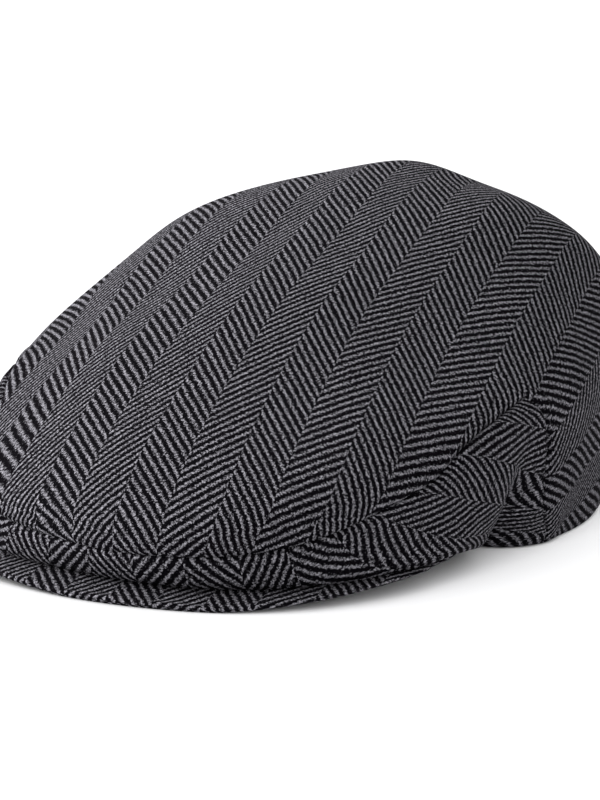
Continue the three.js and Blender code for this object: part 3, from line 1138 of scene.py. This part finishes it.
@dataclass
class Peak:
    """The short stiff peak, covered in the same cloth, with a seam low on its edge."""

    form: CapForm
    finish: HerringboneWool
    node: str = "peak"
    ends: tuple = (-54.0, 43.0)
    edge_round: float = 0.95
    tuck: float = 2.6
    seam_depth: float = 0.7
    seam_width: float = 0.55
    inset: float = 2.0
    columns: int = 201

    def edge(self, angle: Array) -> Array:
        """Radius of the peak's edge, drawn in behind the band past the end of the lip."""
        free = self.form.peak_radius(angle)
        end = self.form.lip_end_angle
        past = smoothstep(self.form.from_middle(angle), end - 1, end + 2)
        hidden = self.form.hem_radius(angle) - self.tuck
        return free + (np.minimum(free, hidden) - free) * past

    def build(self) -> bpy.types.Object:
        """Builds and dresses the peak."""
        form = self.form
        angles = np.linspace(*self.ends, self.columns)
        outer = self.edge(angles)
        rim = form.ellipse(form.rim_half_width, form.rim_front, form.rim_rear, angles)
        inner = rim - self.inset
        half = form.peak_thickness(angles) / 2
        edge_round = half * self.edge_round
        inwards = 1 - graded(60, 0.5, 2.6)[::-1]
        turn = np.linspace(-np.pi / 2, np.pi / 2, 15)
        rows = [(inner + (outer - edge_round - inner) * share, -half) for share in inwards]
        rows += [(outer - edge_round * (1 - np.cos(t)), half * np.sin(t)) for t in turn[1:-1]]
        rows += [(inner + (outer - edge_round - inner) * share, half) for share in inwards[::-1]]
        points = []
        for radius, lift in rows:
            forward = radius * np.cos(np.radians(angles))
            points.append(form.polar_point(angles, radius, form.peak_underside(forward) + half + lift))
        grid = np.array(points)
        # The edge seam is a fine groove low on the lip, where the top and under cloths meet.
        seam = len(inwards) + 2
        from_seam = np.linalg.norm(grid - grid[seam][None], axis=-1)
        sheet = grid_faces(np.arange(grid.shape[0] * grid.shape[1]).reshape(grid.shape[:2]))[:, ::-1]
        normals = vertex_normals(grid.reshape(-1, 3), sheet).reshape(grid.shape)
        groove = self.seam_depth * np.exp(-((from_seam / self.seam_width) ** 2))
        grid = grid - normals * groove[..., None]
        grid[..., 2] = np.maximum(grid[..., 2], 0.02)
        count = grid.shape[:2]
        numbers = np.arange(count[0] * count[1]).reshape(count)
        ring = np.concatenate([numbers, numbers[:1]])
        faces = grid_faces(ring)[:, ::-1].tolist()
        faces.append(numbers[:, 0].tolist())
        faces.append(numbers[:, -1].tolist()[::-1])
        flat = grid.reshape(-1, 3)
        # Up the lip the cloth goes on straight out past the edge, by the length it covers round it.
        length = np.linalg.norm(np.diff(grid, axis=0, append=grid[-1:]), axis=-1)
        top_edge = len(inwards) + len(turn) - 2
        past = np.cumsum(length[::-1], axis=0)[::-1] - length[::-1][:1]
        past = np.maximum(past - past[top_edge][None], 0)
        out = np.stack([np.sin(np.radians(angles)), -np.cos(np.radians(angles))], -1)
        before_edge = np.arange(count[0])[:, None, None] < top_edge
        start = np.where(before_edge, grid[top_edge][None, :, :2], grid[..., :2])
        grain = (start + past[..., None] * out[None]).reshape(-1, 2)
        made = cloth_object("peak_cloth", flat, faces, grain, self.finish.build())
        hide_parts(self.node)
        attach(made, "root")
        return made


@dataclass
class Studio:
    """A pale floor, soft lights and the camera at the photograph's angle."""

    floor_half: float = 40.0
    azimuth: float = 22.0
    elevation: float = 10.1
    distance: float = 0.8407
    target: tuple = (0.0, 0.00085, 0.043)
    lens: float = 114.15
    shift: tuple = (-0.0145, -0.019)
    room: float = 1.1
    key: float = 8.0
    table: float = 3.3

    def floor(self) -> bpy.types.Object:
        """Lays the floor the cap rests on."""
        half = self.floor_half
        mesh = bpy.data.meshes.new("floor")
        corners = [(-half, -half, 0), (half, -half, 0), (half, half, 0), (-half, half, 0)]
        mesh.from_pydata(corners, [], [(0, 1, 2, 3)])
        mesh.materials.append(PaintedFloor().build())
        made = bpy.data.objects.new("floor", mesh)
        bpy.context.scene.collection.objects.link(made)
        return made

    def light(self, name: str, toward: tuple, spread: float, strength: float, lit: list) -> bpy.types.Object:
        """Shines one wide soft light on some of the objects, as flags keep a lamp off the rest.

        Args:
            name: The light's name.
            toward: The direction from the cap to the light.
            spread: How wide the light looks from the cap, in degrees.
            strength: What it gives a face turned straight to it, in watts a square metre.
            lit: The objects it lights.

        Returns:
            The light.
        """
        data = bpy.data.lights.new(name, "SUN")
        data.angle = math.radians(spread)
        data.energy = strength
        made = bpy.data.objects.new(name, data)
        made.rotation_mode = "QUATERNION"
        made.rotation_quaternion = (-Vector(toward)).to_track_quat("-Z", "Y")
        bpy.context.scene.collection.objects.link(made)
        receivers = bpy.data.collections.new(f"{name}_receivers")
        for piece in lit:
            receivers.objects.link(piece)
        made.light_linking.receiver_collection = receivers
        return made

    def camera(self) -> bpy.types.Object:
        """Places the camera where the photograph was taken from."""
        data = bpy.data.cameras.new("camera")
        data.lens = self.lens
        data.sensor_width = 36.0
        data.shift_x, data.shift_y = self.shift
        data.clip_start = 0.01
        made = bpy.data.objects.new("camera", data)
        turn, rise = math.radians(self.azimuth), math.radians(self.elevation)
        back = Vector((math.sin(turn) * math.cos(rise), -math.cos(turn) * math.cos(rise), math.sin(rise)))
        made.location = Vector(self.target) + back * self.distance
        made.rotation_mode = "QUATERNION"
        made.rotation_quaternion = (-back).to_track_quat("-Z", "Y")
        bpy.context.scene.collection.objects.link(made)
        bpy.context.scene.camera = made
        return made

    def surroundings(self) -> None:
        """Fills the room with even white light, and shows colours as they are."""
        world = bpy.data.worlds.new("white_room")
        world.use_nodes = True
        tree = world.node_tree
        tree.nodes.clear()
        even = add_node(
            tree, "ShaderNodeBackground", {"Color": (1.0, 1.0, 1.0, 1.0), "Strength": self.room}, {}
        )
        add_node(tree, "ShaderNodeOutputWorld", {}, {"Surface": even.outputs["Background"]})
        bpy.context.scene.world = world
        bpy.context.scene.view_settings.view_transform = "Standard"

    def build(self) -> None:
        """Sets up the camera and the room."""
        self.camera()
        self.surroundings()

    def light_up(self, pieces: list) -> None:
        """Lays the floor and lights it and the cap, each with its own lamp."""
        floor = self.floor()
        self.light("key_light", (-0.93, -0.22, 0.36), 55.0, self.key, pieces)
        self.light("table_light", (0.37, -0.93, 0.6), 50.0, self.table, [floor])


def main() -> None:
    """Builds the studio and the cap, piece by piece."""
    logging.basicConfig(level=logging.INFO, format="%(name)s: %(message)s")
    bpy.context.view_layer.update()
    studio = Studio()
    studio.build()
    LOG.info("camera and room ready")
    form = CapForm()
    shell = ShellCloth(form, SeamLines(form))
    pieces = (
        CrownPanel(shell, HerringboneWool("herringbone_wool_crown", Grain.CROWN)),
        SideBand(shell, HerringboneWool("herringbone_wool_band", Grain.BAND)),
        Peak(form, HerringboneWool("herringbone_wool_peak", Grain.PEAK)),
    )
    dressed = []
    for piece in pieces:
        made = piece.build()
        dressed.append(made)
        LOG.info("%s: %d points, %d faces", made.name, len(made.data.vertices), len(made.data.polygons))
    studio.light_up(dressed)
    LOG.info("floor and lights ready")


if __name__ == "__main__":
    main()
